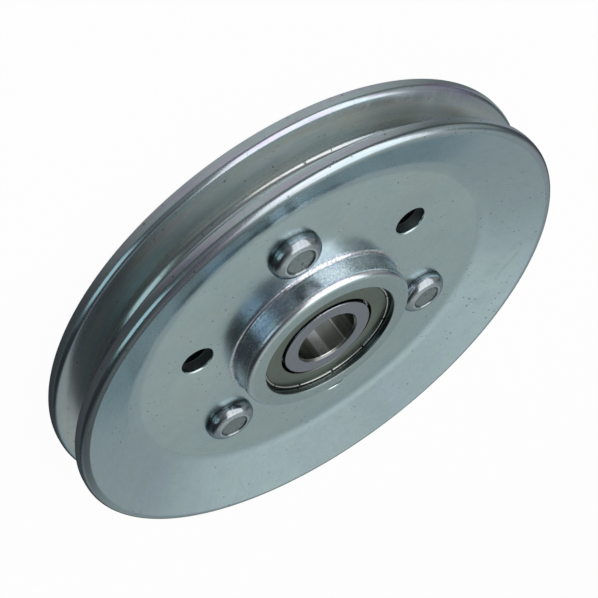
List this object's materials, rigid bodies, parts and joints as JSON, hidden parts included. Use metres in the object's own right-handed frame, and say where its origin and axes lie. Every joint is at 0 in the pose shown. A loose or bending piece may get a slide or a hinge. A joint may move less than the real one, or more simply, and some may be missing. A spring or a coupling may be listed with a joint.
{
  "type": "v-groove idler pulley",
  "caption": "Riveted pressed-steel idler pulley with a V-shaped belt groove, a dished web with plain holes and a shielded ball bearing in its drawn hub.",
  "frame": {"origin": "centre of the bore, on the mid-plane between the two halves", "axes": "+Z along the bore axis out of the front face, -Y through the first rivet"},
  "size_m": [0.1, 0.1, 0.0128],
  "materials": {
    "zinc_plate": "bright zinc plate with a faint blue passivation",
    "rivet_steel": "bright zinc plate over an upset head",
    "ring_steel": "fine ground bearing steel",
    "shield_steel": "pressed sheet with a dull oiled surface",
    "cage_steel": "pressed ribbon, greased",
    "ball_steel": "polished bearing balls, greased"
  },
  "bodies": {
    "shaft_ring": {"inner_ring": "ring_steel"},
    "pulley": {"front_half": "zinc_plate", "rear_half": "zinc_plate", "rivets": "rivet_steel", "outer_ring": "ring_steel", "front_shield": "shield_steel", "rear_shield": "shield_steel"},
    "cage": {"front_cage_half": "cage_steel", "rear_cage_half": "cage_steel", "cage_rivets": "cage_steel", "ball_1": "ball_steel", "ball_2": "ball_steel", "ball_3": "ball_steel", "ball_4": "ball_steel", "ball_5": "ball_steel", "ball_6": "ball_steel", "ball_7": "ball_steel"}
  },
  "joints": [
    {"name": "pulley_spin", "type": "hinge", "parent": "shaft_ring", "child": "pulley", "pos_m": [0, 0, 0], "axis": [0, 0, 1], "continuous": true},
    {"name": "cage_spin", "type": "hinge", "parent": "shaft_ring", "child": "cage", "pos_m": [0, 0, 0], "axis": [0, 0, 1], "continuous": true}
  ],
  "couplings": [
    {"joint": "cage_spin", "follows": "pulley_spin", "ratio": 0.6353}
  ]
}
